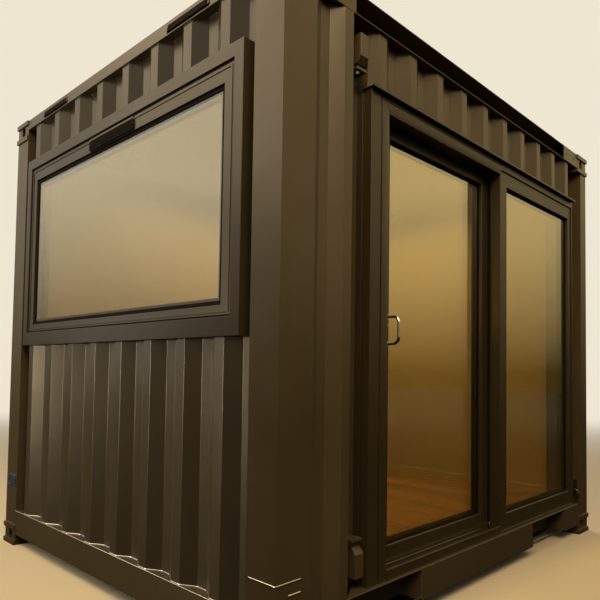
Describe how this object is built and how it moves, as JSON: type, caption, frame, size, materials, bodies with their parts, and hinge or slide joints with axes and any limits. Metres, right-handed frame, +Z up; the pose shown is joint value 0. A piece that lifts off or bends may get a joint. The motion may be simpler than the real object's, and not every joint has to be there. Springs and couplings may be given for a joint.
{
  "type": "shipping container cabin",
  "caption": "Short steel shipping container made into a cabin, with corner castings, corrugated walls, a sliding glass door in the long side and a wide window in the end.",
  "frame": {"origin": "centre of the box round the cabin at the level of the corner castings' undersides", "axes": "+X along the long sides away from the window end, -Y out through the sliding door, +Z up"},
  "size_m": [2.991, 2.438, 2.591],
  "materials": {
    "steel_paint": "satin",
    "profile_paint": "satin",
    "glass": "clear",
    "lining_board": "painted",
    "floor_boards": "lacquered",
    "stainless": "polished",
    "track_aluminium": "anodised",
    "lashing_steel": "worn",
    "gasket_rubber": "matt",
    "inlet_plastic": "plain"
  },
  "bodies": {
    "cabin": {"corner_post_front_left": "steel_paint", "corner_post_front_right": "steel_paint", "corner_post_back_left": "steel_paint", "corner_post_back_right": "steel_paint", "top_rail_front": "steel_paint", "top_rail_back": "steel_paint", "top_rail_left": "steel_paint", "top_rail_right": "steel_paint", "bottom_rail_front": "steel_paint", "bottom_rail_back": "steel_paint", "bottom_rail_left": "steel_paint", "bottom_rail_right": "steel_paint", "floor_frame": "steel_paint", "floor_deck": "floor_boards", "roof_panel": "steel_paint", "ceiling_lining": "lining_board", "end_wall_left": "steel_paint", "end_wall_right": "steel_paint", "back_wall": "steel_paint", "front_panel_left": "steel_paint", "front_panel_right": "steel_paint", "front_panel_top": "steel_paint", "lining_left": "lining_board", "lining_right": "lining_board", "lining_back": "lining_board", "lining_front_left": "lining_board", "lining_front_right": "lining_board", "lining_front_top": "lining_board", "window_surround": "profile_paint", "window_sash": "profile_paint", "window_glass": "glass", "door_jamb_left": "profile_paint", "door_jamb_right": "profile_paint", "door_head": "profile_paint", "door_sill": "profile_paint", "door_track": "track_aluminium", "door_flashing": "profile_paint", "fixed_leaf_frame": "profile_paint", "fixed_leaf_glass": "glass", "power_inlet": "inlet_plastic", "lashing_lug": "lashing_steel"},
    "sliding_leaf": {"sliding_leaf_frame": "profile_paint", "sliding_leaf_glass": "glass", "door_pull": "stainless"}
  },
  "joints": [
    {"name": "door_slide", "type": "slide", "parent": "cabin", "child": "sliding_leaf", "axis": [1, 0, 0], "range_m": [0, 0.9]}
  ]
}
